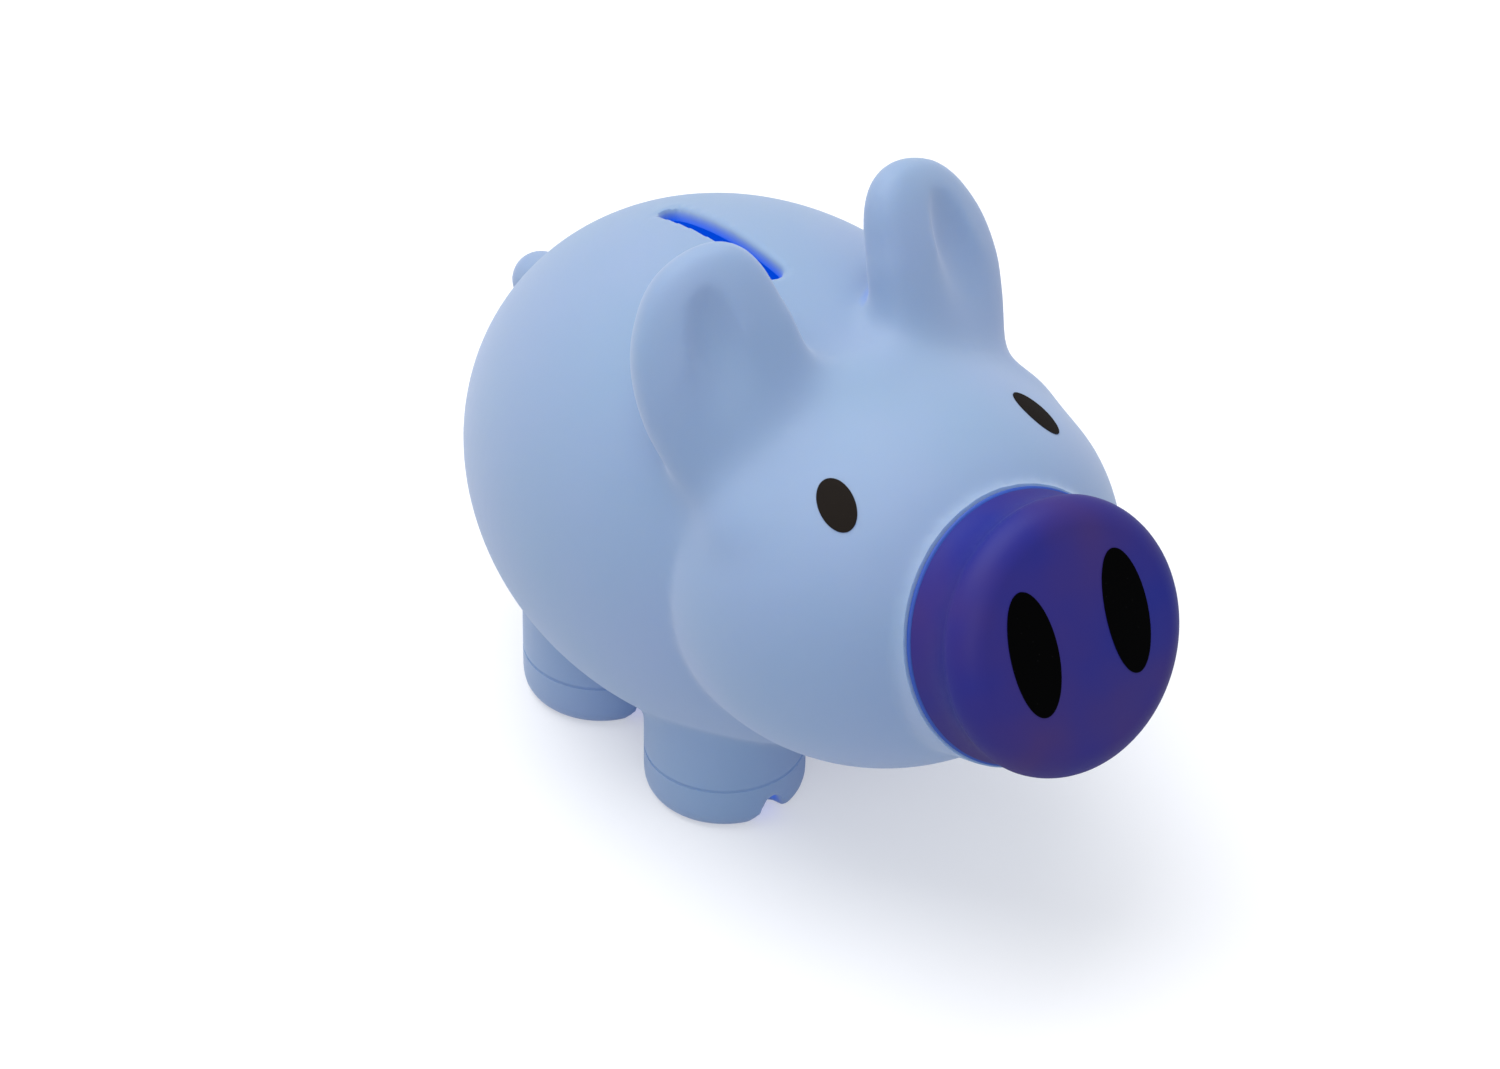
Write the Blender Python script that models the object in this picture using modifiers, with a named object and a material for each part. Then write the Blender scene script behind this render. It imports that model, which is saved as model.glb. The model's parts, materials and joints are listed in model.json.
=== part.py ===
"""Piggy bank: hollow vinyl body with a coin slot, and a frosted nose that screws out of the face."""

import math

import bmesh
import bpy
from mathutils import Matrix, Vector

MM = 0.001

# Trunk and head, both ellipsoids: centre and half sizes
TRUNK_CENTRE = Vector((0, 18.4, 63.3)) * MM
TRUNK_HALF = Vector((57.0, 68.5, 56.4)) * MM
HEAD_CENTRE = Vector((0, -30.1, 69.0)) * MM
HEAD_HALF = Vector((49.5, 48.3, 42.8)) * MM
WALL = 3.2 * MM

# Ears: pads with a full round edge and a hollow in the front. The crown is the ridge between them,
# and a brow carries the outer side of each ear down into the head
EAR_CENTRE = Vector((27.4, -10.9, 112.8)) * MM
EAR_THICKNESS = 15.0 * MM
EAR_FULLNESS = 0.75
EAR_YAW = math.radians(18)
EAR_LEAN = math.radians(-9)
EAR_PITCH = math.radians(-23)
# How far the outline of an ear lies from its middle in mm, every 30 degrees from its outer side over its tip
EAR_REACH = (20.0, 23.4, 28.4, 29.6, 21.3, 18.8, 22.0, 27.8, 30.2, 29.5, 22.6, 19.4)
EAR_HOLLOW_CENTRE = Vector((4.6, 0, 8.5)) * MM
EAR_HOLLOW_HALF = Vector((7.0, 6.0, 19.0)) * MM
EAR_HOLLOW_LEAN = math.radians(4)
EAR_HOLLOW_DEPTH = 3.6 * MM
CROWN_CENTRE = Vector((0, -23.0, 100.3)) * MM
CROWN_HALF = Vector((24.0, 11.0, 14.3)) * MM
BROW_CENTRE = Vector((30.0, -27.0, 88.0)) * MM
BROW_HALF = Vector((15.0, 13.0, 13.0)) * MM

# Legs, with a hoof line round each and a cleft between the toes
LEG_SPREAD = 4.0 * MM
FRONT_LEG_Y = -1.9 * MM
REAR_LEG_Y = 43.0 * MM
LEG_RADIUS = 17.7 * MM
LEG_TAPER = 0.5 * MM
LEG_HEIGHT = 40.0 * MM
SOLE_ROUND = 5.0 * MM
SOLE_TRIM = 0.6 * MM
HOOF_LINE_HEIGHT = 11.0 * MM
HOOF_LINE_WIDTH = 0.8 * MM
HOOF_LINE_DEPTH = 0.7 * MM
CLEFT_WIDTH = 4.5 * MM
CLEFT_HEIGHT = 6.5 * MM
CLEFT_DEPTH = 7.0 * MM
PAST_LEG = 1.2

# Tail: a short curl
TAIL_ROOT_DEPTH = 8.0 * MM
TAIL_REACH = 15.0 * MM
TAIL_DROP = 4.5 * MM
TAIL_HEIGHT = 76.0 * MM
TAIL_RADIUS = 6.5 * MM

# Coin slot along the back
SLOT_LENGTH = 40.0 * MM
SLOT_WIDTH = 4.6 * MM
SLOT_BACK = 9.0 * MM

# Nose axis: it leaves the middle of the seat on the face and looks forward and up
SEAT_CENTRE = Vector((0, -72.6, 75.5)) * MM
NOSE_TILT = math.radians(22)
SEAT_MARGIN = 3.6 * MM
MUZZLE_TAPER = 1.5 * MM
SEAT_THICKNESS = 5.5 * MM
MUZZLE_LENGTH = 26.0 * MM

# Joint between face and nose
BORE_RADIUS = 23.4 * MM
RING_WALL = 2.4 * MM
FLANGE_WIDTH = 3.0 * MM
FLANGE_THICKNESS = 1.6 * MM
RING_DEPTH = 13.0 * MM
WASHER_LIP = 2.5 * MM
WASHER_THICKNESS = 1.0 * MM
THREAD_HEIGHT = 1.5 * MM
THREAD_WIDTH = 2.0 * MM
THREAD_STARTS = 2
THREAD_LEAD = 12.0 * MM
THREAD_TURN = math.radians(170)
THREAD_CLEARANCE = 0.45 * MM
THREAD_BITE = 0.4 * MM
NECK_WALL = 2.2 * MM
NECK_DEPTH = 11.0 * MM

# Nose: a cup with a waisted side, a full rounded edge and a faintly domed front
NOSE_BASE_INSET = 0.4 * MM
NOSE_WAIST_INSET = 1.5 * MM
NOSE_RIM_OUTSET = 0.1 * MM
NOSE_RIM_HEIGHT = 12.0 * MM
NOSE_EDGE_ROUND = 6.5 * MM
NOSE_DOME = 1.6 * MM
NOSE_WALL = 2.2 * MM
NOSE_DISC_CHAMFER = 0.6 * MM

# Printed marks
PRINT_THICKNESS = 0.4 * MM
PRINT_INSET = 0.3
EYE_ACROSS = 0.533
EYE_UP = 0.783
EYE_HALF_WIDTH = 3.8 * MM
EYE_HALF_LENGTH = 6.4 * MM
EYE_AXIS = Vector((-0.2, 0.87, 0.45))
NOSTRIL_X = 12.1 * MM
NOSTRIL_RISE = 2.0 * MM
NOSTRIL_HALF_WIDTH = 5.6 * MM
NOSTRIL_HALF_LENGTH = 13.6 * MM

GAP = 0.3 * MM

# Sizes that follow from the ones above
FLANGE_RADIUS = BORE_RADIUS + FLANGE_WIDTH
WASHER_RADIUS = FLANGE_RADIUS + WASHER_LIP
SEAT_RADIUS = FLANGE_RADIUS + SEAT_MARGIN
MUZZLE_ROOT_RADIUS = SEAT_RADIUS - MUZZLE_TAPER
NOSE_BASE_RADIUS = WASHER_RADIUS - NOSE_BASE_INSET
NOSE_WAIST_RADIUS = WASHER_RADIUS - NOSE_WAIST_INSET
NOSE_RIM_RADIUS = WASHER_RADIUS + NOSE_RIM_OUTSET
TRUNK_BACK = TRUNK_CENTRE.y + TRUNK_HALF.y
TAIL_BASE = Vector((0, TRUNK_BACK - TAIL_ROOT_DEPTH, TAIL_HEIGHT))
TAIL_TIP = TAIL_BASE + Vector((0, TAIL_REACH, -TAIL_DROP))
SLOT_Y = TRUNK_CENTRE.y + SLOT_BACK
RING_BORE = BORE_RADIUS - GAP - RING_WALL
NECK_RADIUS = RING_BORE - THREAD_HEIGHT - THREAD_CLEARANCE
NOSE_BASE = WASHER_THICKNESS + 2 * GAP
LEG_X = LEG_RADIUS + LEG_SPREAD
LEG_TOP_RADIUS = LEG_RADIUS - LEG_TAPER

# Fineness of the meshes
VOXEL = 1.7 * MM
FORM_SEGMENTS = 64
FORM_RINGS = 40
HOOF_SEGMENTS = 32
CLEFT_STEPS = 6
SLOT_STEPS = 8
THREAD_STEPS = 16
EDGE_STEPS = 5
DOME_STEPS = 5
PRINT_SEGMENTS = 28
SKIN_SMOOTHING = 6
SKIN_RATIO = 0.055
CAVITY_RATIO = 0.03
ROUND_SEGMENTS = 56


def clear_scene():
    for obj in list(bpy.data.objects):
        bpy.data.objects.remove(obj, do_unlink=True)


def new_collection(name):
    collection = bpy.data.collections.new(name)
    bpy.context.scene.collection.children.link(collection)
    return collection


def material(name, colour, roughness):
    made = bpy.data.materials.new(name)
    made.use_nodes = True
    shader = made.node_tree.nodes["Principled BSDF"]
    shader.inputs["Base Color"].default_value = (*colour, 1)
    shader.inputs["Roughness"].default_value = roughness
    return made


def add_object(name, mesh, collection, parent=None):
    obj = bpy.data.objects.new(name, mesh)
    collection.objects.link(obj)
    obj.parent = parent
    return obj


def add_cutter(name, mesh, parent=None):
    obj = add_object(name, mesh, cutters, parent)
    obj.hide_render = True
    obj.display_type = "WIRE"
    return obj


def mesh_of(name, shape):
    """Closes a bmesh into a mesh whose faces point out."""
    bmesh.ops.recalc_face_normals(shape, faces=shape.faces)
    mesh = bpy.data.meshes.new(name)
    shape.to_mesh(mesh)
    shape.free()
    return mesh


def evaluated_mesh(obj):
    bpy.context.view_layer.update()
    graph = bpy.context.evaluated_depsgraph_get()
    return bpy.data.meshes.new_from_object(obj.evaluated_get(graph))


def freeze(obj):
    """Replaces an object's mesh by what its modifiers make of it."""
    mesh = evaluated_mesh(obj)
    obj.modifiers.clear()
    obj.data = mesh
    return obj


def smooth_shade(obj):
    for polygon in obj.data.polygons:
        polygon.use_smooth = True


def boolean(obj, other, operation):
    cut = obj.modifiers.new(operation.title() + " " + other.name, "BOOLEAN")
    cut.operation = operation
    cut.solver = "EXACT"
    cut.object = other


def ellipsoid(name, centre, half, rotation=Matrix.Identity(3)):
    place = Matrix.Translation(centre) @ rotation.to_4x4() @ Matrix.Diagonal((*half, 1))
    shape = bmesh.new()
    bmesh.ops.create_uvsphere(shape, u_segments=FORM_SEGMENTS, v_segments=FORM_RINGS, radius=1, matrix=place)
    return add_cutter(name, mesh_of(name, shape))


def cone(name, low, high, low_radius, high_radius):
    axis = high - low
    place = Matrix.Translation((low + high) / 2) @ axis.to_track_quat("Z", "Y").to_matrix().to_4x4()
    shape = bmesh.new()
    bmesh.ops.create_cone(
        shape,
        cap_ends=True,
        segments=FORM_SEGMENTS,
        radius1=low_radius,
        radius2=high_radius,
        depth=axis.length,
        matrix=place,
    )
    return add_cutter(name, mesh_of(name, shape))


def round_low_edge(foot):
    """Rounds the bottom edge of a foot with a bevel on the edges at its sole."""
    shape = bmesh.new()
    shape.from_mesh(foot.data)
    low = min(vertex.co.z for vertex in shape.verts) + GAP
    edges = [edge for edge in shape.edges if all(vertex.co.z < low for vertex in edge.verts)]
    bmesh.ops.bevel(shape, geom=edges, offset=SOLE_ROUND, segments=EDGE_STEPS, profile=0.5, affect="EDGES")
    shape.to_mesh(foot.data)
    shape.free()


def lathe(name, profile, segments=ROUND_SEGMENTS):
    """A solid of revolution about Z from (radius, height) points that go once round its section."""
    shape = bmesh.new()
    points = [shape.verts.new((radius, 0, height)) for radius, height in profile]
    closed = profile[0][0] > 0 or profile[-1][0] > 0
    last = len(points) if closed else len(points) - 1
    for index in range(last):
        shape.edges.new((points[index], points[(index + 1) % len(points)]))
    bmesh.ops.spin(
        shape,
        geom=shape.verts[:] + shape.edges[:],
        cent=(0, 0, 0),
        axis=(0, 0, 1),
        angle=math.tau,
        steps=segments,
        use_merge=True,
    )
    bmesh.ops.remove_doubles(shape, verts=shape.verts, dist=1e-6)
    return mesh_of(name, shape)


def mirrored(value, side):
    return Vector((value.x * side, value.y, value.z))


def ear_rotation(side, lean=EAR_LEAN):
    upright = Matrix.Rotation(EAR_YAW * side, 3, "Z") @ Matrix.Rotation(EAR_PITCH, 3, "X")
    return upright @ Matrix.Rotation(lean * side, 3, "Y")


def ear_reach(angle):
    """Distance from the middle of an ear to its outline, by a smooth curve through its given reaches."""
    place = angle / math.tau * len(EAR_REACH)
    index = math.floor(place)
    part = place - index
    before, start, end, after = [EAR_REACH[(index + step) % len(EAR_REACH)] for step in (-1, 0, 1, 2)]
    bend = 2 * before - 5 * start + 4 * end - after
    twist = 3 * (start - end) + after - before
    return (start + (end - before + bend * part + twist * part * part) * part / 2) * MM


def ear_point(point, inset):
    """Carries a point of the unit sphere to the padded ear. Z of the sphere runs through its thickness."""
    angle = math.atan2(point.y, point.x)
    out = (ear_reach(angle) - inset) * math.hypot(point.x, point.y) ** EAR_FULLNESS
    deep = (EAR_THICKNESS / 2 - inset) * math.copysign(abs(point.z) ** EAR_FULLNESS, point.z)
    return Vector((out * math.cos(angle), deep, out * math.sin(angle)))


def ear_pad(side, inset):
    shape = bmesh.new()
    bmesh.ops.create_uvsphere(shape, u_segments=FORM_SEGMENTS, v_segments=FORM_RINGS, radius=1)
    place = Matrix.Translation(mirrored(EAR_CENTRE, side)) @ ear_rotation(side).to_4x4()
    for vertex in shape.verts:
        vertex.co = place @ mirrored(ear_point(vertex.co, inset), side)
    return add_cutter("form_ear", mesh_of("form_ear", shape))


def ear_hollow(side, inset):
    """Cutter for the hollow in the front of an ear; a cavity keeps a wall behind it."""
    reach = EAR_THICKNESS / 2 - EAR_HOLLOW_DEPTH + EAR_HOLLOW_HALF.y
    shift = ear_rotation(side) @ mirrored(EAR_HOLLOW_CENTRE - Vector((0, reach, 0)), side)
    half = EAR_HOLLOW_HALF + Vector((inset, inset, inset))
    turn = ear_rotation(side, EAR_HOLLOW_LEAN)
    return ellipsoid("cutter_ear_hollow", mirrored(EAR_CENTRE, side) + shift, half, turn)


def skin(name, inset):
    """The moulded form as one soft closed skin. inset shrinks it for the space inside."""
    shrink = Vector((inset, inset, inset))
    obj = ellipsoid(name, TRUNK_CENTRE, TRUNK_HALF - shrink)
    boolean(obj, ellipsoid("form_head", HEAD_CENTRE, HEAD_HALF - shrink), "UNION")
    boolean(obj, ellipsoid("form_crown", CROWN_CENTRE, CROWN_HALF - shrink), "UNION")
    muzzle_top = nose_frame @ Vector((0, 0, -SEAT_THICKNESS if inset else THREAD_HEIGHT))
    muzzle_root = nose_frame @ Vector((0, 0, -MUZZLE_LENGTH))
    muzzle = cone("form_muzzle", muzzle_root, muzzle_top, MUZZLE_ROOT_RADIUS - inset, SEAT_RADIUS - inset)
    boolean(obj, muzzle, "UNION")
    for side in (-1, 1):
        brow = ellipsoid("form_brow", mirrored(BROW_CENTRE, side), BROW_HALF - shrink)
        boolean(obj, brow, "UNION")
        boolean(obj, ear_pad(side, inset), "UNION")
        for leg_y in (FRONT_LEG_Y, REAR_LEG_Y):
            sole = Vector((LEG_X * side, leg_y, inset - SOLE_TRIM))
            ankle = Vector((LEG_X * side, leg_y, SOLE_ROUND))
            hip = Vector((LEG_X * side, leg_y, LEG_HEIGHT))
            boolean(obj, cone("form_leg", ankle, hip, LEG_RADIUS - inset, LEG_TOP_RADIUS - inset), "UNION")
            foot = cone("form_foot", sole, ankle, LEG_RADIUS - inset, LEG_RADIUS - inset)
            if not inset:
                round_low_edge(foot)
            boolean(obj, foot, "UNION")
    if not inset:
        boolean(obj, cone("form_tail", TAIL_BASE, TAIL_TIP, TAIL_RADIUS, TAIL_RADIUS), "UNION")
        boolean(obj, ellipsoid("form_tail_tip", TAIL_TIP, Vector((1, 1, 1)) * TAIL_RADIUS), "UNION")
    for side in (-1, 1):
        boolean(obj, ear_hollow(side, inset), "DIFFERENCE")
    one_skin = obj.modifiers.new("One skin", "REMESH")
    one_skin.mode = "VOXEL"
    one_skin.voxel_size = VOXEL
    soften = obj.modifiers.new("Soften", "SMOOTH")
    soften.iterations = SKIN_SMOOTHING
    thin = obj.modifiers.new("Fewer faces", "DECIMATE")
    thin.ratio = CAVITY_RATIO if inset else SKIN_RATIO
    thin.use_symmetry = True
    return freeze(obj)


def prism(name, outline, along):
    """A flat outline pulled along a vector into a closed solid."""
    shape = bmesh.new()
    face = shape.faces.new([shape.verts.new(point) for point in outline])
    pulled = bmesh.ops.extrude_face_region(shape, geom=[face])["geom"]
    far = [item for item in pulled if isinstance(item, bmesh.types.BMVert)]
    bmesh.ops.translate(shape, verts=far, vec=along)
    return mesh_of(name, shape)


def slot_cutter():
    """A long hole with round ends, upright through the back."""
    radius = SLOT_WIDTH / 2
    reach = SLOT_LENGTH / 2 - radius
    low = TRUNK_CENTRE.z + TRUNK_HALF.z / 2
    outline = []
    for end in (1, -1):
        for step in range(SLOT_STEPS + 1):
            angle = math.pi * step / SLOT_STEPS
            x = end * radius * math.cos(angle)
            outline.append((x, SLOT_Y + end * (reach + radius * math.sin(angle)), low))
    return add_cutter("cutter_coin_slot", prism("cutter_coin_slot", outline, (0, 0, TRUNK_HALF.z)))


def hoof_line_cutter(x, y):
    """A thin ring that marks a hoof off from its leg."""
    ring = lathe(
        "cutter_hoof_line",
        [
            (LEG_RADIUS - HOOF_LINE_DEPTH, -HOOF_LINE_WIDTH / 2),
            (LEG_RADIUS * PAST_LEG, -HOOF_LINE_WIDTH / 2),
            (LEG_RADIUS * PAST_LEG, HOOF_LINE_WIDTH / 2),
            (LEG_RADIUS - HOOF_LINE_DEPTH, HOOF_LINE_WIDTH / 2),
        ],
        HOOF_SEGMENTS,
    )
    cutter = add_cutter("cutter_hoof_line", ring)
    cutter.location = (x, y, HOOF_LINE_HEIGHT)
    return cutter


def cleft_cutter(x, y):
    """An arch cut into the front of a hoof between its two toes."""
    radius = CLEFT_WIDTH / 2
    spring = CLEFT_HEIGHT - radius
    outline = [(radius, -CLEFT_HEIGHT)]
    for step in range(CLEFT_STEPS + 1):
        angle = math.pi * step / CLEFT_STEPS
        outline.append((radius * math.cos(angle), spring + radius * math.sin(angle)))
    outline.append((-radius, -CLEFT_HEIGHT))
    front = y - LEG_RADIUS * PAST_LEG
    back = y - LEG_RADIUS + CLEFT_DEPTH
    placed = [(x + across, front, up) for across, up in outline]
    return add_cutter("cutter_cleft", prism("cutter_cleft", placed, (0, back - front, 0)))


def floor_cutter():
    """Everything under the floor, so that the soles end flat on it."""
    depth = TRUNK_HALF.z
    width = 2 * (TRUNK_HALF.x + TRUNK_HALF.y)
    shape = bmesh.new()
    place = Matrix.Translation((0, 0, -depth / 2)) @ Matrix.Diagonal((width, width, depth, 1))
    bmesh.ops.create_cube(shape, size=1, matrix=place)
    return add_cutter("cutter_floor", mesh_of("cutter_floor", shape))


def seat_cutter():
    """Flattens the face round the nose, and bores it for the socket ring and its flange."""
    flange_floor = -FLANGE_THICKNESS - GAP
    seat = lathe(
        "cutter_seat",
        [
            (0, -2 * MUZZLE_LENGTH),
            (BORE_RADIUS, -2 * MUZZLE_LENGTH),
            (BORE_RADIUS, flange_floor),
            (FLANGE_RADIUS + GAP, flange_floor),
            (FLANGE_RADIUS + GAP, 0),
            (2 * SEAT_RADIUS, 0),
            (2 * SEAT_RADIUS, MUZZLE_LENGTH),
            (0, MUZZLE_LENGTH),
        ],
    )
    return add_cutter("cutter_seat", seat, nose_axis)


def make_body():
    body = skin("body_shell", 0)
    cutters.objects.unlink(body)
    parts.objects.link(body)
    body.hide_render = False
    body.display_type = "TEXTURED"
    boolean(body, floor_cutter(), "DIFFERENCE")
    boolean(body, skin("cutter_cavity", WALL), "DIFFERENCE")
    boolean(body, seat_cutter(), "DIFFERENCE")
    boolean(body, slot_cutter(), "DIFFERENCE")
    for x in (-LEG_X, LEG_X):
        for y in (FRONT_LEG_Y, REAR_LEG_Y):
            boolean(body, hoof_line_cutter(x, y), "DIFFERENCE")
            boolean(body, cleft_cutter(x, y), "DIFFERENCE")
    return freeze(body)


def thread_ridge(name, root_radius, height, low, first_angle):
    """One start of the thread: a tapered ridge on a right-hand helix. A negative height points inwards."""
    half = THREAD_WIDTH / 2
    buried = -THREAD_BITE if height > 0 else THREAD_BITE
    section = [
        (root_radius + buried, -half),
        (root_radius, -half),
        (root_radius + height, -half / 2),
        (root_radius + height, half / 2),
        (root_radius, half),
        (root_radius + buried, half),
    ]
    shape = bmesh.new()
    points = [shape.verts.new((radius, 0, low + up)) for radius, up in section]
    shape.faces.new(points)
    start = Matrix.Rotation(first_angle, 4, "Z")
    bmesh.ops.transform(shape, verts=shape.verts, matrix=start)
    wound = bmesh.ops.spin(
        shape,
        geom=shape.verts[:] + shape.edges[:] + shape.faces[:],
        cent=(0, 0, 0),
        axis=(0, 0, 1),
        dvec=(0, 0, THREAD_LEAD * THREAD_TURN / math.tau / THREAD_STEPS),
        angle=THREAD_TURN,
        steps=THREAD_STEPS,
    )
    return add_cutter(name, mesh_of(name, shape), nose_axis)


def threaded(name, profile, root_radius, height, low, first_angle, parent):
    """A turned piece with one ridge for each start of its thread."""
    piece = add_object(name, lathe(name, profile), parts, parent)
    piece.matrix_world = nose_frame
    for start in range(THREAD_STARTS):
        angle = first_angle + math.tau * start / THREAD_STARTS
        boolean(piece, thread_ridge(name + "_thread", root_radius, height, low, angle), "UNION")
    return freeze(piece)


def make_socket():
    """Rigid ring in the face, flush with the seat, with the thread inside it."""
    ring_low = -RING_DEPTH
    profile = [
        (RING_BORE, ring_low),
        (BORE_RADIUS - GAP, ring_low),
        (BORE_RADIUS - GAP, -FLANGE_THICKNESS),
        (FLANGE_RADIUS, -FLANGE_THICKNESS),
        (FLANGE_RADIUS, 0),
        (RING_BORE, 0),
    ]
    low = ring_low + THREAD_WIDTH
    return threaded("nose_socket", profile, RING_BORE, -THREAD_HEIGHT, low, 0, body)


def make_washer():
    profile = [
        (NECK_RADIUS + THREAD_CLEARANCE, GAP),
        (WASHER_RADIUS, GAP),
        (WASHER_RADIUS, GAP + WASHER_THICKNESS),
        (NECK_RADIUS + THREAD_CLEARANCE, GAP + WASHER_THICKNESS),
    ]
    return add_object("nose_washer", lathe("nose_washer", profile), parts, nose_axis)


def make_cap():
    """The cup: waisted side, full round edge, domed front, even wall, open at the back."""
    rim = NOSE_BASE + NOSE_RIM_HEIGHT
    waist = NOSE_BASE + NOSE_RIM_HEIGHT / 2
    outer = [(NOSE_BASE_RADIUS, NOSE_BASE)]
    outer.append(((NOSE_BASE_RADIUS + NOSE_WAIST_RADIUS) / 2, (NOSE_BASE + waist) / 2))
    outer.append((NOSE_WAIST_RADIUS, waist))
    outer.append(((NOSE_RIM_RADIUS + NOSE_WAIST_RADIUS) / 2, (rim + waist) / 2))
    face_radius = NOSE_RIM_RADIUS - NOSE_EDGE_ROUND
    edge = rounded(face_radius, rim, NOSE_EDGE_ROUND)
    inner_edge = rounded(face_radius, rim, NOSE_EDGE_ROUND - NOSE_WALL)
    front = rim + NOSE_EDGE_ROUND
    outer += edge + dome(face_radius, front)
    inner = [(radius - NOSE_WALL, height) for radius, height in outer[:4]]
    inner += inner_edge + dome(face_radius, front - NOSE_WALL)
    return add_object("nose_cap", lathe("nose_cap", outer + inner[::-1]), parts, nose_axis)


def rounded(centre_radius, centre_height, radius):
    """Quarter circle from the side to the front."""
    points = []
    for step in range(EDGE_STEPS):
        angle = math.pi / 2 * step / EDGE_STEPS
        points.append((centre_radius + radius * math.cos(angle), centre_height + radius * math.sin(angle)))
    return points


def dome(radius, height):
    """From the edge of the front to its middle, rising by the dome's height."""
    points = []
    for step in range(DOME_STEPS + 1):
        out = 1 - step / DOME_STEPS
        points.append((radius * out, height + NOSE_DOME * (1 - out * out)))
    return points


def make_neck():
    """Threaded tube that enters the socket, with the disc that closes the back of the cup."""
    disc_radius = NOSE_BASE_RADIUS - NOSE_WALL - GAP
    profile = [
        (NECK_RADIUS - NECK_WALL, -NECK_DEPTH),
        (NECK_RADIUS, -NECK_DEPTH),
        (NECK_RADIUS, NOSE_BASE),
        (disc_radius - NOSE_DISC_CHAMFER, NOSE_BASE),
        (disc_radius - NOSE_DISC_CHAMFER, NOSE_BASE + NECK_WALL),
        (NECK_RADIUS - NECK_WALL, NOSE_BASE + NECK_WALL),
    ]
    low = THREAD_WIDTH - NECK_DEPTH
    offset = low - (THREAD_WIDTH - RING_DEPTH)
    between = THREAD_LEAD / THREAD_STARTS / 2
    first_angle = math.tau * (offset - between) / THREAD_LEAD
    return threaded("nose_neck", profile, NECK_RADIUS, THREAD_HEIGHT, low, first_angle, nose_axis)


def print_mark(name, place, half_width, half_length, target, parent):
    """A thin oval laid on a surface. Its own Z looks out of the surface and its Y runs along the oval."""
    shape = bmesh.new()
    bmesh.ops.create_circle(shape, cap_ends=True, segments=PRINT_SEGMENTS, radius=1)
    for width in (PRINT_INSET, PRINT_INSET):
        middle = max(shape.faces, key=lambda face: face.calc_area())
        bmesh.ops.inset_region(shape, faces=[middle], thickness=width)
    bmesh.ops.transform(shape, verts=shape.verts, matrix=Matrix.Diagonal((half_width, half_length, 1, 1)))
    bmesh.ops.triangulate(shape, faces=[face for face in shape.faces if len(face.verts) > 4])
    mesh = bpy.data.meshes.new(name)
    shape.to_mesh(mesh)
    shape.free()
    mark = add_object(name, mesh, parts, parent)
    mark.matrix_world = place
    lay = mark.modifiers.new("Lay on surface", "SHRINKWRAP")
    lay.target = target
    lay.wrap_method = "PROJECT"
    lay.use_project_z = True
    lay.use_negative_direction = True
    lay.use_positive_direction = True
    lay.offset = GAP
    thicken = mark.modifiers.new("Thickness", "SOLIDIFY")
    thicken.thickness = PRINT_THICKNESS
    thicken.offset = 1
    return mark


def make_eye(name, side):
    forward = -math.sqrt(1 - EYE_ACROSS * EYE_ACROSS - EYE_UP * EYE_UP)
    share = Vector((EYE_ACROSS * side, forward, EYE_UP))
    spot = HEAD_CENTRE + HEAD_HALF * share
    outward = Vector([share[i] / HEAD_HALF[i] for i in range(3)]).normalized()
    along = mirrored(EYE_AXIS, side)
    along = (along - outward * along.dot(outward)).normalized()
    turn = Matrix((along.cross(outward), along, outward)).transposed().to_4x4()
    place = Matrix.Translation(spot + outward * EYE_HALF_WIDTH) @ turn
    return print_mark(name, place, EYE_HALF_WIDTH, EYE_HALF_LENGTH, body, body)


def make_nostril(name, side):
    front = NOSE_BASE + NOSE_RIM_HEIGHT + NOSE_EDGE_ROUND
    place = nose_frame @ Matrix.Translation((NOSTRIL_X * side, NOSTRIL_RISE, front + NOSTRIL_HALF_WIDTH))
    return print_mark(name, place, NOSTRIL_HALF_WIDTH, NOSTRIL_HALF_LENGTH, nose_cap, nose_axis)


def paint(obj, made):
    obj.data.materials.clear()
    obj.data.materials.append(made)
    smooth_shade(obj)


clear_scene()
parts = new_collection("piggy_bank")
cutters = new_collection("cutters")
nose_frame = Matrix.Translation(SEAT_CENTRE) @ Matrix.Rotation(math.pi / 2 - NOSE_TILT, 4, "X")
nose_axis = add_object("nose_axis", None, parts)
nose_axis.matrix_world = nose_frame
bpy.context.view_layer.update()

body = make_body()
nose_socket = make_socket()
nose_washer = make_washer()
nose_cap = make_cap()
nose_neck = make_neck()

paint(body, material("body_vinyl", (0.36, 0.52, 0.78), 0.6))
paint(nose_socket, material("socket_plastic", (0.20, 0.30, 0.60), 0.45))
paint(nose_washer, material("washer_blue", (0.02, 0.10, 0.45), 0.5))
paint(nose_cap, material("nose_frosted", (0.05, 0.04, 0.22), 0.45))
paint(nose_neck, material("neck_plastic", (0.07, 0.06, 0.28), 0.45))
for side, word in ((-1, "right"), (1, "left")):
    eye = make_eye("eye_print_" + word, side)
    paint(eye, material("eye_paint_" + word, (0.01, 0.009, 0.008), 0.4))
    nostril = make_nostril("nostril_print_" + word, side)
    paint(nostril, material("nostril_paint_" + word, (0.003, 0.003, 0.003), 0.5))
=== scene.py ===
"""Piggy bank in soft pale-blue vinyl, with a frosted violet nose that screws out of its face."""

import json
import math

import bpy
from mathutils import Matrix, Vector
from mathutils.bvhtree import BVHTree


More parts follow.
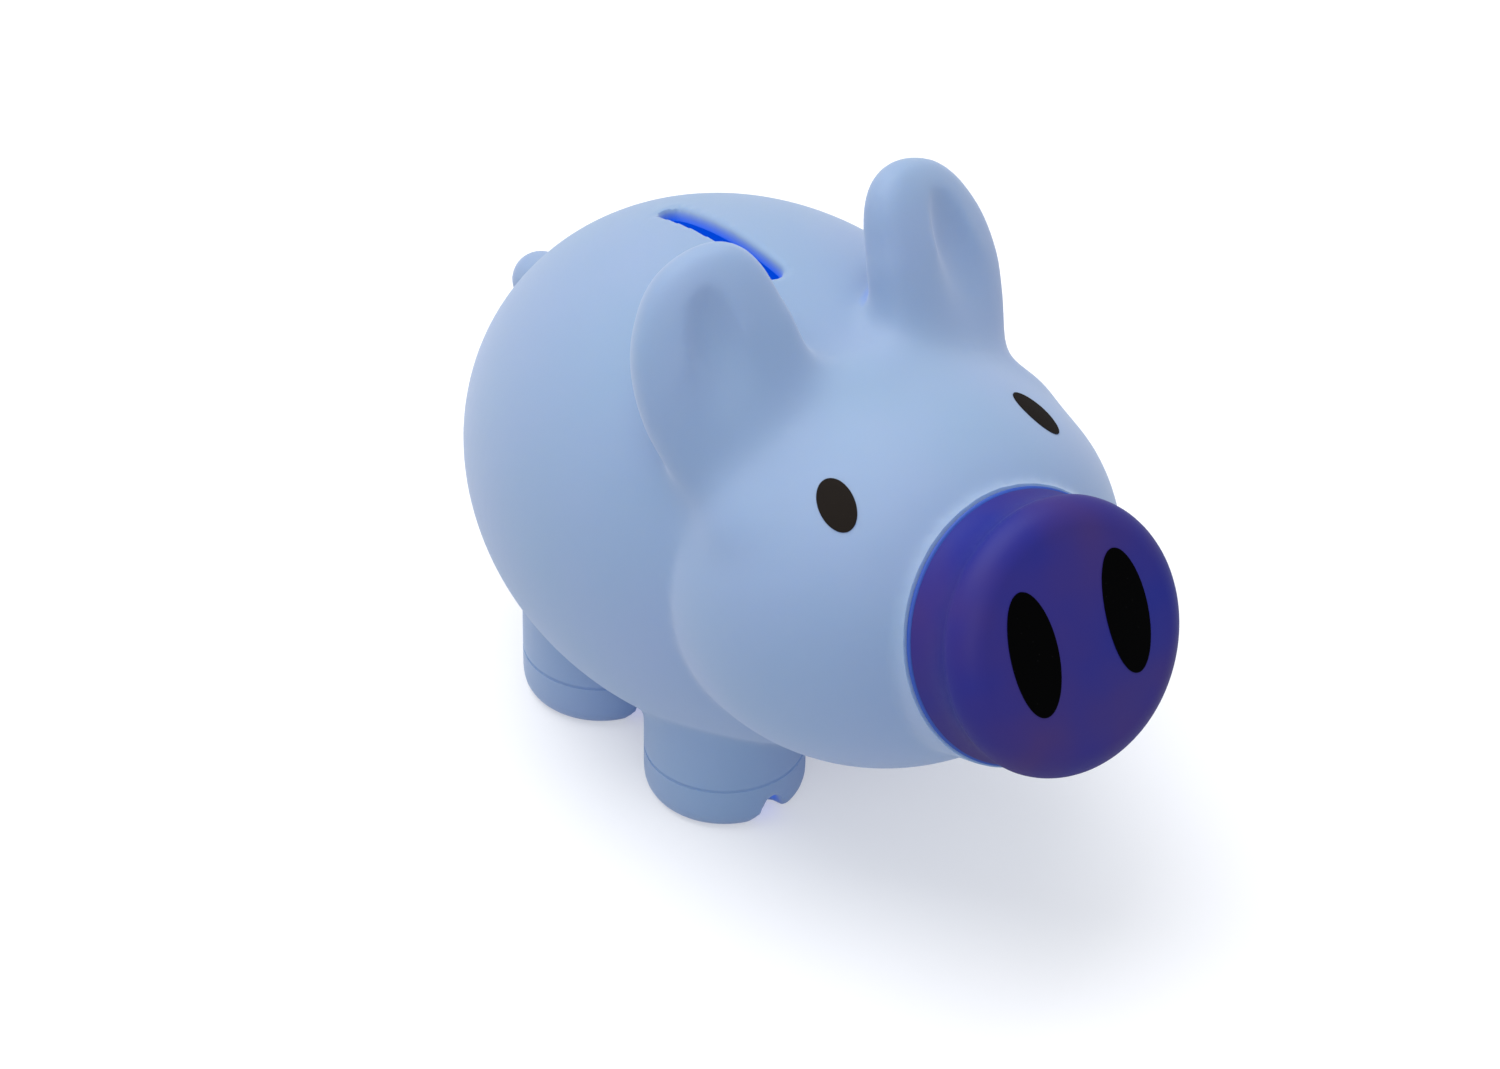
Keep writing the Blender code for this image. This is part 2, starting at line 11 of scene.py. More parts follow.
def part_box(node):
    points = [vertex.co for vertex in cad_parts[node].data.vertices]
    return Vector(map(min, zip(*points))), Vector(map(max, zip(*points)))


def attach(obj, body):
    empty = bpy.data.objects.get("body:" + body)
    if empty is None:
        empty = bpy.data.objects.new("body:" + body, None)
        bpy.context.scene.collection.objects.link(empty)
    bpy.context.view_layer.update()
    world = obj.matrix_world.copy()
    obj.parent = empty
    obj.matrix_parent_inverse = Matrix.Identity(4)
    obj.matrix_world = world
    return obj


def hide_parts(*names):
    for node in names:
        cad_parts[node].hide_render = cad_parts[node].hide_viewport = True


MM = 0.001

# Camera
CAMERA_PLACE = (-0.5809, -0.7367, 0.7562)
CAMERA_TURN = (math.radians(53.2564), 0, math.radians(-37.6138))
CAMERA_LENS = 131.13
CAMERA_SIGHT = 20

# Light and table
SKY_COLOUR = (0.87, 0.91, 1, 1)
SKY_STRENGTH = 0.66
TABLE_SIZE = 12
TABLE_LIFT = 0.4

# Trunk, head and muzzle
TRUNK_CENTRE = Vector((0, 18.4, 63.3)) * MM
TRUNK_HALF = Vector((57.0, 68.5, 56.4)) * MM
HEAD_CENTRE = Vector((0, -30.1, 69.0)) * MM
HEAD_HALF = Vector((49.5, 48.3, 42.8)) * MM
MUZZLE_ROOT_RADIUS = 28.5 * MM
MUZZLE_LENGTH = 26.0 * MM
SEAT_RADIUS = 29.4 * MM
SEAT_THICKNESS = 5.5 * MM
WALL = 3.2 * MM

# Ears
EAR_CENTRE = Vector((27.4, -10.9, 112.8)) * MM
EAR_THICKNESS = 15.0 * MM
EAR_FULLNESS = 0.75
EAR_YAW = math.radians(18)
EAR_LEAN = math.radians(-9)
EAR_PITCH = math.radians(-23)
# How far the outline of an ear lies from its middle in mm, every 30 degrees from its outer side over its tip
EAR_REACH = (20.0, 23.4, 28.4, 29.6, 21.3, 18.8, 22.0, 27.8, 30.2, 29.5, 22.6, 19.4)
EAR_HOLLOW_CENTRE = Vector((4.6, 0, 8.5)) * MM
EAR_HOLLOW_HALF = Vector((7.0, 6.0, 19.0)) * MM
EAR_HOLLOW_LEAN = math.radians(4)
EAR_HOLLOW_DEPTH = 3.6 * MM
CROWN_CENTRE = Vector((0, -23.0, 100.3)) * MM
CROWN_HALF = Vector((24.0, 11.0, 14.3)) * MM
BROW_CENTRE = Vector((30.0, -27.0, 88.0)) * MM
BROW_HALF = Vector((15.0, 13.0, 13.0)) * MM
ROOT_BLEND_CENTRE = Vector((27.0, -27.0, 101.0)) * MM
ROOT_BLEND_REACH = 28.0 * MM
ROOT_SMOOTHING = 220

# Legs and tail
LEG_X = 21.7 * MM
LEG_ROWS = (-1.9 * MM, 43.0 * MM)
LEG_RADIUS = 17.7 * MM
LEG_TOP_RADIUS = 17.2 * MM
LEG_HEIGHT = 40.0 * MM
SOLE_ROUND = 5.0 * MM
SOLE_TRIM = 0.6 * MM
HOOF_LINE_HEIGHT = 11.0 * MM
HOOF_LINE_RADIUS = 0.45 * MM
CLEFT_WIDTH = 4.5 * MM
CLEFT_HEIGHT = 6.5 * MM
CLEFT_DEPTH = 7.0 * MM
CLEFT_FLARE = 2.6
PAST_LEG = 1.3
TAIL_BASE = Vector((0, 78.9, 76.0)) * MM
TAIL_TIP = Vector((0, 93.9, 71.5)) * MM
TAIL_RADIUS = 6.5 * MM

# Coin slot
SLOT_LENGTH = 40.0 * MM
SLOT_WIDTH = 4.6 * MM
SLOT_Y = 27.4 * MM
SLOT_DEPTH = 15.0 * MM

# Bore, socket ring, washer and neck
GAP = 0.3 * MM
BORE_RADIUS = 23.4 * MM
RING_WALL = 2.4 * MM
RING_DEPTH = 13.0 * MM
FLANGE_RADIUS = 26.4 * MM
FLANGE_THICKNESS = 1.6 * MM
WASHER_RADIUS = 28.9 * MM
WASHER_THICKNESS = 1.0 * MM
THREAD_HEIGHT = 1.5 * MM
THREAD_WIDTH = 2.0 * MM
THREAD_STARTS = 2
THREAD_LEAD = 12.0 * MM
THREAD_TURN = math.radians(170)
THREAD_CLEARANCE = 0.45 * MM
THREAD_BITE = 0.4 * MM
NECK_WALL = 2.2 * MM
NECK_DEPTH = 11.0 * MM
RING_BORE = BORE_RADIUS - GAP - RING_WALL
NECK_RADIUS = RING_BORE - THREAD_HEIGHT - THREAD_CLEARANCE

# Nose cup
NOSE_BASE = WASHER_THICKNESS + 2 * GAP
NOSE_BASE_RADIUS = 28.5 * MM
NOSE_WAIST_RADIUS = 27.4 * MM
NOSE_RIM_RADIUS = 29.0 * MM
NOSE_RIM_HEIGHT = 12.0 * MM
NOSE_EDGE_ROUND = 6.5 * MM
NOSE_DOME = 1.6 * MM
NOSE_WALL = 2.2 * MM

# Printed marks
EYE_HALF_WIDTH = 3.8 * MM
EYE_HALF_LENGTH = 6.4 * MM
EYE_AXIS = Vector((-0.2, 0.87, 0.45))
NOSTRIL_HALF_WIDTH = 5.6 * MM
NOSTRIL_HALF_LENGTH = 13.6 * MM
PRINT_LIFT = 0.05 * MM
PRINT_THICKNESS = 0.1 * MM

# Fineness
SKIN_VOXEL = 1.0 * MM
CAVITY_VOXEL = 2.5 * MM
SKIN_SMOOTHING = 8
CAVITY_SMOOTHING = 3
SKIN_PROBE_SMOOTHING = 3
FORM_SEGMENTS = 96
FORM_RINGS = 64
SOLE_STEPS = 6
SLOT_SEGMENTS = 48
HOOF_LINE_STEPS = 12
THREAD_STEPS = 64
NOSE_STEPS = 12
PRINT_SEGMENTS = 64
PRINT_INSETS = (0.03, 0.12, 0.2, 0.25, 0.25)
ROUND_SEGMENTS = 128

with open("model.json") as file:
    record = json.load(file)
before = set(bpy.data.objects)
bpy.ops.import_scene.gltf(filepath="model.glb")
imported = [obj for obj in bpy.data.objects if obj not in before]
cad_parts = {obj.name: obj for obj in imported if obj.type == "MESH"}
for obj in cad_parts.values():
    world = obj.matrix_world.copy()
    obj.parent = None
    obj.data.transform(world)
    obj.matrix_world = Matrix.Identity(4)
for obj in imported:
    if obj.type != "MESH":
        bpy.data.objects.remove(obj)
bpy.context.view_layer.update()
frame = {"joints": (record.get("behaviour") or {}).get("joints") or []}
hinge = next(joint for joint in frame["joints"] if joint["name"] == "nose_twist")
nose_out = Vector(hinge["axis"]).normalized()
nose_up = Vector((1, 0, 0)).cross(-nose_out)
nose_turn = Matrix((Vector((1, 0, 0)), nose_up, nose_out)).transposed()
nose_frame = Matrix.Translation(Vector(hinge["pos_m"])) @ nose_turn.to_4x4()


# Camera, lights and floor


def set_camera():
    data = bpy.data.cameras.new("camera")
    data.lens = CAMERA_LENS
    data.clip_end = CAMERA_SIGHT
    camera = bpy.data.objects.new("camera", data)
    camera.location = CAMERA_PLACE
    camera.rotation_euler = CAMERA_TURN
    bpy.context.scene.collection.objects.link(camera)
    bpy.context.scene.camera = camera


def soft_box(name, place, size, power):
    """A square lamp that looks at the middle of the bank."""
    data = bpy.data.lights.new(name, "AREA")
    data.size = size
    data.energy = power
    lamp = bpy.data.objects.new(name, data)
    lamp.location = place
    lamp.rotation_euler = (TRUNK_CENTRE - Vector(place)).to_track_quat("-Z", "Y").to_euler()
    bpy.context.scene.collection.objects.link(lamp)


def set_light():
    world = bpy.data.worlds.new("studio")
    bpy.context.scene.world = world
    world.use_nodes = True
    sky = world.node_tree.nodes["Background"]
    sky.inputs["Color"].default_value = SKY_COLOUR
    sky.inputs["Strength"].default_value = SKY_STRENGTH
    soft_box("top_softbox", (-0.15, 0.3, 1.25), 1.3, 16)
    soft_box("front_softbox", (-0.9, -1.1, 0.9), 1.0, 4)
    bpy.context.scene.view_settings.view_transform = "Standard"


def lay_floor():
    bpy.ops.object.select_all(action="DESELECT")
    bpy.ops.mesh.primitive_plane_add(size=TABLE_SIZE)
    floor = bpy.context.object
    floor.name = "floor"
    floor.data.materials.append(paper_white())


# Modelling


def pick(obj):
    bpy.ops.object.select_all(action="DESELECT")
    obj.select_set(True)
    bpy.context.view_layer.objects.active = obj


def settle(obj):
    """Puts an object's place, turn and scale into its mesh."""
    pick(obj)
    bpy.ops.object.transform_apply(location=True, rotation=True, scale=True)
    return obj


def apply(obj, modifier):
    pick(obj)
    bpy.ops.object.modifier_apply(modifier=modifier.name)


def combine(obj, tool, operation):
    """Joins a tool shape to an object or cuts it away, and removes the tool."""
    step = obj.modifiers.new(operation, "BOOLEAN")
    step.operation = operation
    step.solver = "EXACT"
    step.object = tool
    apply(obj, step)
    bpy.data.objects.remove(tool, do_unlink=True)
    return obj


def egg(centre, half, turn=Matrix.Identity(3)):
    bpy.ops.object.select_all(action="DESELECT")
    bpy.ops.mesh.primitive_uv_sphere_add(segments=FORM_SEGMENTS, ring_count=FORM_RINGS, radius=1)
    obj = bpy.context.object
    obj.matrix_world = Matrix.Translation(centre) @ turn.to_4x4() @ Matrix.Diagonal((*half, 1))
    return settle(obj)


def post(low, high, low_radius, high_radius, low_round=0):
    """A round post between two points, with its low edge rounded over."""
    axis = high - low
    bpy.ops.object.select_all(action="DESELECT")
    bpy.ops.mesh.primitive_cone_add(
        vertices=FORM_SEGMENTS,
        radius1=low_radius,
        radius2=high_radius,
        depth=axis.length,
    )
    obj = bpy.context.object
    if low_round:
        bpy.ops.object.mode_set(mode="EDIT")
        bpy.ops.mesh.select_mode(type="EDGE")
        bpy.ops.mesh.select_all(action="DESELECT")
        bpy.ops.object.mode_set(mode="OBJECT")
        for edge in obj.data.edges:
            ends = [obj.data.vertices[index].co.z for index in edge.vertices]
            edge.select = max(ends) < 0
        bpy.ops.object.mode_set(mode="EDIT")
        bpy.ops.mesh.bevel(offset=low_round, segments=SOLE_STEPS)
        bpy.ops.object.mode_set(mode="OBJECT")
    turn = axis.to_track_quat("Z", "Y").to_matrix().to_4x4()
    obj.matrix_world = Matrix.Translation((low + high) / 2) @ turn
    return settle(obj)


def one_skin(obj, voxel):
    step = obj.modifiers.new("one_skin", "REMESH")
    step.mode = "VOXEL"
    step.voxel_size = voxel
    apply(obj, step)


def soften(obj, iterations, weight_of=None):
    """Relaxes the surface, everywhere or by a weight worked out from each point's place."""
    step = obj.modifiers.new("soften", "SMOOTH")
    step.iterations = iterations
    step.factor = 0.5
    if weight_of:
        soft = obj.vertex_groups.new(name="soft")
        for vertex in obj.data.vertices:
            weight = weight_of(vertex.co)
            if weight > 0:
                soft.add([vertex.index], weight, "REPLACE")
        step.vertex_group = soft.name
    apply(obj, step)
    obj.vertex_groups.clear()


def root_blend(point):
    """1 on the crown and where the ears grow out of it, falling to 0 round them."""
    across = max(ROOT_BLEND_CENTRE.x, abs(point.x))
    away = (Vector((across, point.y, point.z)) - ROOT_BLEND_CENTRE).length / ROOT_BLEND_REACH
    return min(1, max(0, 2 - 2 * away))


def copy_of(obj):
    made = obj.copy()
    made.data = obj.data.copy()
    bpy.context.scene.collection.objects.link(made)
    return made


def name_piece(obj, name):
    obj.name = name
    obj.data.name = name
    return obj


def to_side(point, side):
    return Vector((point.x * side, point.y, point.z))


def ear_turn(side, lean=EAR_LEAN):
    upright = Matrix.Rotation(EAR_YAW * side, 3, "Z") @ Matrix.Rotation(EAR_PITCH, 3, "X")
    return upright @ Matrix.Rotation(lean * side, 3, "Y")


def ear_reach(angle):
    """Distance from the middle of an ear to its outline, by a smooth curve through its given reaches."""
    place = angle / math.tau * len(EAR_REACH)
    index = math.floor(place)
    part = place - index
    before, start, end, after = [EAR_REACH[(index + step) % len(EAR_REACH)] for step in (-1, 0, 1, 2)]
    bend = 2 * before - 5 * start + 4 * end - after
    twist = 3 * (start - end) + after - before
    return (start + (end - before + bend * part + twist * part * part) * part / 2) * MM


def ear_point(point, inset):
    """Carries a point of the unit sphere to the padded ear. Z of the sphere runs through its thickness."""
    angle = math.atan2(point.y, point.x)
    out = (ear_reach(angle) - inset) * math.hypot(point.x, point.y) ** EAR_FULLNESS
    deep = (EAR_THICKNESS / 2 - inset) * math.copysign(abs(point.z) ** EAR_FULLNESS, point.z)
    return Vector((out * math.cos(angle), deep, out * math.sin(angle)))


def ear(side, inset):
    obj = egg(Vector(), Vector((1, 1, 1)))
    for vertex in obj.data.vertices:
        vertex.co = to_side(ear_point(vertex.co, inset), side)
    bpy.ops.object.mode_set(mode="EDIT")
    bpy.ops.mesh.select_all(action="SELECT")
    bpy.ops.mesh.normals_make_consistent(inside=False)
    bpy.ops.object.mode_set(mode="OBJECT")
    obj.matrix_world = Matrix.Translation(to_side(EAR_CENTRE, side)) @ ear_turn(side).to_4x4()
    return settle(obj)


def ear_hollow(side, inset):
    reach = EAR_THICKNESS / 2 - EAR_HOLLOW_DEPTH + EAR_HOLLOW_HALF.y
    shift = ear_turn(side) @ to_side(EAR_HOLLOW_CENTRE - Vector((0, reach, 0)), side)
    half = EAR_HOLLOW_HALF + Vector((inset, inset, inset))
    return egg(to_side(EAR_CENTRE, side) + shift, half, ear_turn(side, EAR_HOLLOW_LEAN))


def moulded_form(inset):
    """Trunk, head, crown, muzzle, brows, ears and legs as one solid, shrunk by inset for the space inside."""
    shrink = Vector((inset, inset, inset))
    form = egg(TRUNK_CENTRE, TRUNK_HALF - shrink)
    combine(form, egg(HEAD_CENTRE, HEAD_HALF - shrink), "UNION")
    combine(form, egg(CROWN_CENTRE, CROWN_HALF - shrink), "UNION")
    muzzle_top = nose_frame @ Vector((0, 0, -SEAT_THICKNESS if inset else THREAD_HEIGHT))
    muzzle_root = nose_frame @ Vector((0, 0, -MUZZLE_LENGTH))
    combine(form, post(muzzle_root, muzzle_top, MUZZLE_ROOT_RADIUS - inset, SEAT_RADIUS - inset), "UNION")
    for side in (-1, 1):
        combine(form, egg(to_side(BROW_CENTRE, side), BROW_HALF - shrink), "UNION")
        combine(form, ear(side, inset), "UNION")
        for row in LEG_ROWS:
            foot = Vector((LEG_X * side, row, inset - SOLE_TRIM))
            hip = Vector((LEG_X * side, row, LEG_HEIGHT))
            leg = post(foot, hip, LEG_RADIUS - inset, LEG_TOP_RADIUS - inset, 0 if inset else SOLE_ROUND)
            combine(form, leg, "UNION")
    for side in (-1, 1):
        combine(form, ear_hollow(side, inset), "DIFFERENCE")
    return form


def slot_tool():
    """Upright tool with round ends, for the coin slot."""
    bpy.ops.object.select_all(action="DESELECT")
    top = TRUNK_CENTRE.z + TRUNK_HALF.z
    bpy.ops.mesh.primitive_cylinder_add(vertices=SLOT_SEGMENTS, radius=SLOT_WIDTH / 2, depth=2 * SLOT_DEPTH)
    tool = bpy.context.object
    reach = (SLOT_LENGTH - SLOT_WIDTH) / 2
    for vertex in tool.data.vertices:
        vertex.co.y += reach if vertex.co.y > 0 else -reach
    tool.location = (0, SLOT_Y, top)
    return settle(tool)


def cleft_tool(x, row):
    """Arch between the two toes, cut from the front of a hoof."""
    radius = CLEFT_WIDTH / 2
    spring = CLEFT_HEIGHT - radius
    front = row - PAST_LEG * LEG_RADIUS
    back = row - LEG_RADIUS + CLEFT_DEPTH
    tool = post(Vector((x, front, spring)), Vector((x, back, spring)), radius, radius)
    bpy.ops.object.select_all(action="DESELECT")
    bpy.ops.mesh.primitive_cube_add(size=1)
    slab = bpy.context.object
    for vertex in slab.data.vertices:
        vertex.co.x *= 1 if vertex.co.z > 0 else CLEFT_FLARE
    slab.location = (x, (front + back) / 2, 0)
    slab.scale = (CLEFT_WIDTH, back - front, 2 * spring)
    return combine(tool, settle(slab), "UNION")


def turned(name, rings, ending):
    """A circle raised through (radius, height) rings.

    Its ending is "loop" (back to the first ring), "solid" (closed by flat ends) or "pole" (drawn to a point).
    """
    bpy.ops.object.select_all(action="DESELECT")
    fill = "NGON" if ending == "solid" else "NOTHING"
    bpy.ops.mesh.primitive_circle_add(vertices=ROUND_SEGMENTS, radius=rings[0][0], fill_type=fill)
    obj = name_piece(bpy.context.object, name)
    bpy.ops.object.mode_set(mode="EDIT")
    bpy.ops.mesh.select_all(action="SELECT")
    bpy.ops.transform.translate(value=(0, 0, rings[0][1]))
    for (old_radius, old_height), (radius, height) in zip(rings, rings[1:]):
        bpy.ops.mesh.extrude_region_move(TRANSFORM_OT_translate={"value": (0, 0, height - old_height)})
        grow = radius / old_radius
        bpy.ops.transform.resize(value=(grow, grow, 1), center_override=(0, 0, height))
    if ending == "loop":
        bpy.ops.mesh.select_all(action="DESELECT")
        bpy.ops.mesh.select_non_manifold()
        bpy.ops.mesh.bridge_edge_loops()
    if ending == "pole":
        bpy.ops.mesh.merge(type="CENTER")
    bpy.ops.mesh.select_all(action="SELECT")
    bpy.ops.mesh.normals_make_consistent(inside=False)
    bpy.ops.object.mode_set(mode="OBJECT")
    return obj


def on_nose_axis(obj):
    obj.matrix_world = nose_frame
    return settle(obj)


def smooth_to(obj, degrees):
    pick(obj)
    bpy.ops.object.shade_smooth_by_angle(angle=math.radians(degrees))
    return obj


def seat_tool():
    floor = -FLANGE_THICKNESS - GAP
    rings = [
        (BORE_RADIUS, -2 * MUZZLE_LENGTH),
        (BORE_RADIUS, floor),
        (FLANGE_RADIUS + GAP, floor),
        (FLANGE_RADIUS + GAP, 0),
        (2 * SEAT_RADIUS, 0),
        (2 * SEAT_RADIUS, MUZZLE_LENGTH),
    ]
    return on_nose_axis(turned("seat_tool", rings, "solid"))


def floor_tool():
    bpy.ops.object.select_all(action="DESELECT")
    bpy.ops.mesh.primitive_cube_add(size=1, location=(0, 0, -0.5))
    return settle(bpy.context.object)


def hoof_line_tool(x, row):
    bpy.ops.object.select_all(action="DESELECT")
    bpy.ops.mesh.primitive_torus_add(
        location=(x, row, HOOF_LINE_HEIGHT),
        major_segments=ROUND_SEGMENTS,
        minor_segments=HOOF_LINE_STEPS,
        major_radius=LEG_RADIUS - HOOF_LINE_RADIUS / 2,
        minor_radius=HOOF_LINE_RADIUS,
    )
    return settle(bpy.context.object)


def legs():
    return [(x, row) for x in (-LEG_X, LEG_X) for row in LEG_ROWS]


def mark_depth(obj, skin):
    """Stores how far under the outer skin each point lies, in millimetres."""
    points = [vertex.co[:] for vertex in skin.data.vertices]
    tree = BVHTree.FromPolygons(points, [face.vertices[:] for face in skin.data.polygons])
    depth = obj.data.attributes.new("depth", "FLOAT", "POINT")
    depth.data.foreach_set("value", [tree.find_nearest(vertex.co)[3] / MM for vertex in obj.data.vertices])


def make_body():
    form = moulded_form(0)
    combine(form, post(TAIL_BASE, TAIL_TIP, TAIL_RADIUS, TAIL_RADIUS), "UNION")
    combine(form, egg(TAIL_TIP, Vector((1, 1, 1)) * TAIL_RADIUS), "UNION")
    skin = copy_of(form)
    combine(form, slot_tool(), "DIFFERENCE")
    for x, row in legs():
        combine(form, cleft_tool(x, row), "DIFFERENCE")
    one_skin(form, SKIN_VOXEL)
    soften(form, ROOT_SMOOTHING, root_blend)
    soften(form, SKIN_SMOOTHING)
    cavity = moulded_form(WALL)
    one_skin(cavity, CAVITY_VOXEL)
    soften(cavity, CAVITY_SMOOTHING)
    combine(form, cavity, "DIFFERENCE")
    combine(form, seat_tool(), "DIFFERENCE")
    combine(form, floor_tool(), "DIFFERENCE")
    for x, row in legs():
        combine(form, hoof_line_tool(x, row), "DIFFERENCE")
    one_skin(skin, 2 * SKIN_VOXEL)
    soften(skin, ROOT_SMOOTHING // 4, root_blend)
    soften(skin, SKIN_PROBE_SMOOTHING)
    mark_depth(form, skin)
    bpy.data.objects.remove(skin, do_unlink=True)
    return smooth_to(name_piece(form, "body"), 40)


def thread_ridge(root, tip, low, first_angle):
    """One start of the thread: a tapered ridge wound up a right-hand helix."""
    half = THREAD_WIDTH / 2
    buried = root - math.copysign(THREAD_BITE, tip - root)
    corners = [
        (buried, -half),
        (root, -half),
        (tip, -half / 2),
        (tip, half / 2),
        (root, half),
        (buried, half),
    ]
    bpy.ops.object.select_all(action="DESELECT")
    bpy.ops.mesh.primitive_circle_add(vertices=len(corners), radius=half)
    ridge = bpy.context.object
    for vertex, (radius, up) in zip(ridge.data.vertices, corners):
        vertex.co = (radius, 0, low + up)
    wind = ridge.modifiers.new("wind", "SCREW")
    wind.angle = THREAD_TURN
    wind.screw_offset = THREAD_LEAD * THREAD_TURN / math.tau
    wind.steps = THREAD_STEPS
    wind.render_steps = THREAD_STEPS
    wind.use_merge_vertices = False
    apply(ridge, wind)
    bpy.ops.object.mode_set(mode="EDIT")
    bpy.ops.mesh.select_mode(type="EDGE")
    bpy.ops.mesh.select_all(action="DESELECT")
    bpy.ops.mesh.select_non_manifold()
    bpy.ops.mesh.edge_face_add()
    bpy.ops.mesh.select_all(action="SELECT")
    bpy.ops.mesh.normals_make_consistent(inside=False)
    bpy.ops.object.mode_set(mode="OBJECT")
    ridge.rotation_euler.z = first_angle
    return settle(ridge)


def threaded(piece, root, tip, low, first_angle):
    for start in range(THREAD_STARTS):
        angle = first_angle + math.tau * start / THREAD_STARTS
        combine(piece, thread_ridge(root, tip, low, angle), "UNION")
    return smooth_to(on_nose_axis(piece), 35)


def make_socket():
    rings = [
        (RING_BORE, -RING_DEPTH),
        (BORE_RADIUS - GAP, -RING_DEPTH),
        (BORE_RADIUS - GAP, -FLANGE_THICKNESS),
        (FLANGE_RADIUS, -FLANGE_THICKNESS),
        (FLANGE_RADIUS, 0),
        (RING_BORE, 0),
    ]
    piece = turned("socket_ring", rings, "loop")
    return threaded(piece, RING_BORE, RING_BORE - THREAD_HEIGHT, THREAD_WIDTH - RING_DEPTH, 0)


def make_neck():
    disc = NOSE_BASE_RADIUS - NOSE_WALL - GAP
    rings = [
        (NECK_RADIUS - NECK_WALL, -NECK_DEPTH),
        (NECK_RADIUS, -NECK_DEPTH),
        (NECK_RADIUS, NOSE_BASE),
        (disc - 2 * GAP, NOSE_BASE),
        (disc - 2 * GAP, NOSE_BASE + NECK_WALL),
        (NECK_RADIUS - NECK_WALL, NOSE_BASE + NECK_WALL),
    ]
    piece = turned("nose_neck_ring", rings, "loop")
    low = THREAD_WIDTH - NECK_DEPTH
    offset = RING_DEPTH - NECK_DEPTH
    between = THREAD_LEAD / THREAD_STARTS / 2
    angle = math.tau * (offset - between) / THREAD_LEAD
    return threaded(piece, NECK_RADIUS, NECK_RADIUS + THREAD_HEIGHT, low, angle)


def make_washer():
    inner = NECK_RADIUS + THREAD_CLEARANCE
    middle = GAP + WASHER_THICKNESS / 2
    rings = [
        (inner, GAP),
        (WASHER_RADIUS - GAP, GAP),
        (WASHER_RADIUS, middle),
        (WASHER_RADIUS - GAP, GAP + WASHER_THICKNESS),
        (inner, GAP + WASHER_THICKNESS),
    ]
    return smooth_to(on_nose_axis(turned("nose_washer_ring", rings, "loop")), 60)


def nose_rings():
    """Side with its waist, the round edge, and the faintly domed front."""
    rings = []
    for step in range(NOSE_STEPS):
        part = step / NOSE_STEPS
        straight = NOSE_BASE_RADIUS + (NOSE_RIM_RADIUS - NOSE_BASE_RADIUS) * part
        pinch = (NOSE_BASE_RADIUS + NOSE_RIM_RADIUS) / 2 - NOSE_WAIST_RADIUS
        rings.append((straight - pinch * math.sin(math.pi * part), NOSE_BASE + NOSE_RIM_HEIGHT * part))
    rim = NOSE_BASE + NOSE_RIM_HEIGHT
    face = NOSE_RIM_RADIUS - NOSE_EDGE_ROUND
    for step in range(NOSE_STEPS):
        angle = math.pi / 2 * step / NOSE_STEPS
        rings.append((face + NOSE_EDGE_ROUND * math.cos(angle), rim + NOSE_EDGE_ROUND * math.sin(angle)))
    for step in range(NOSE_STEPS):
        out = 1 - step / NOSE_STEPS
        rings.append((face * out, rim + NOSE_EDGE_ROUND + NOSE_DOME * (1 - out * out)))
    rings.append((face / 100, rim + NOSE_EDGE_ROUND + NOSE_DOME))
    return rings


def make_nose():
    cup = turned("nose", nose_rings(), "pole")
    wall = cup.modifiers.new("wall", "SOLIDIFY")
    wall.thickness = NOSE_WALL
    wall.offset = -1
    apply(cup, wall)
    return smooth_to(on_nose_axis(cup), 40)


def print_mark(name, place, half_width, half_length, target):
    """A thin oval laid on a surface. Its own Z looks away from the surface and its Y runs along the oval."""
    bpy.ops.object.select_all(action="DESELECT")
    bpy.ops.mesh.primitive_circle_add(vertices=PRINT_SEGMENTS, radius=1, fill_type="NGON")
    mark = name_piece(bpy.context.object, name)
    bpy.ops.object.mode_set(mode="EDIT")
    bpy.ops.mesh.select_all(action="SELECT")
    for width in PRINT_INSETS:
        bpy.ops.mesh.inset(thickness=width)
    bpy.ops.mesh.poke()
    bpy.ops.object.mode_set(mode="OBJECT")
    mark.matrix_world = place @ Matrix.Diagonal((half_width, half_length, 1, 1))
    settle(mark)
    lay = mark.modifiers.new("lay", "SHRINKWRAP")
    lay.target = target
    lay.wrap_method = "NEAREST_SURFACEPOINT"
    lay.wrap_mode = "ABOVE_SURFACE"
    lay.offset = PRINT_LIFT
    apply(mark, lay)
    ink = mark.modifiers.new("ink", "SOLIDIFY")
    ink.thickness = PRINT_THICKNESS
    ink.offset = 1
    apply(mark, ink)
    return smooth_to(mark, 60)


def middle_of(node):
    low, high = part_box(node)
    return (low + high) / 2


def make_eye(word, side):
    spot = middle_of("eye_print_" + word)
    from_centre = spot - HEAD_CENTRE
    outward = Vector([from_centre[i] / HEAD_HALF[i] ** 2 for i in range(3)]).normalized()
    along = to_side(EYE_AXIS, side)
    along = (along - outward * along.dot(outward)).normalized()
    turn = Matrix((along.cross(outward), along, outward)).transposed().to_4x4()
    return print_mark("eye_" + word, Matrix.Translation(spot) @ turn, EYE_HALF_WIDTH, EYE_HALF_LENGTH, body)


def make_nostril(word):
    spot = middle_of("nostril_print_" + word)
    place = Matrix.Translation(spot) @ nose_turn.to_4x4()
    return print_mark("nostril_" + word, place, NOSTRIL_HALF_WIDTH, NOSTRIL_HALF_LENGTH, nose)


# Finishes


def add_node(tree, kind, place, **settings):
    made = tree.nodes.new(kind)
    made.location = (place[0] * 200, place[1] * 200)
    for key, value in settings.items():
        setattr(made, key, value)
    return made


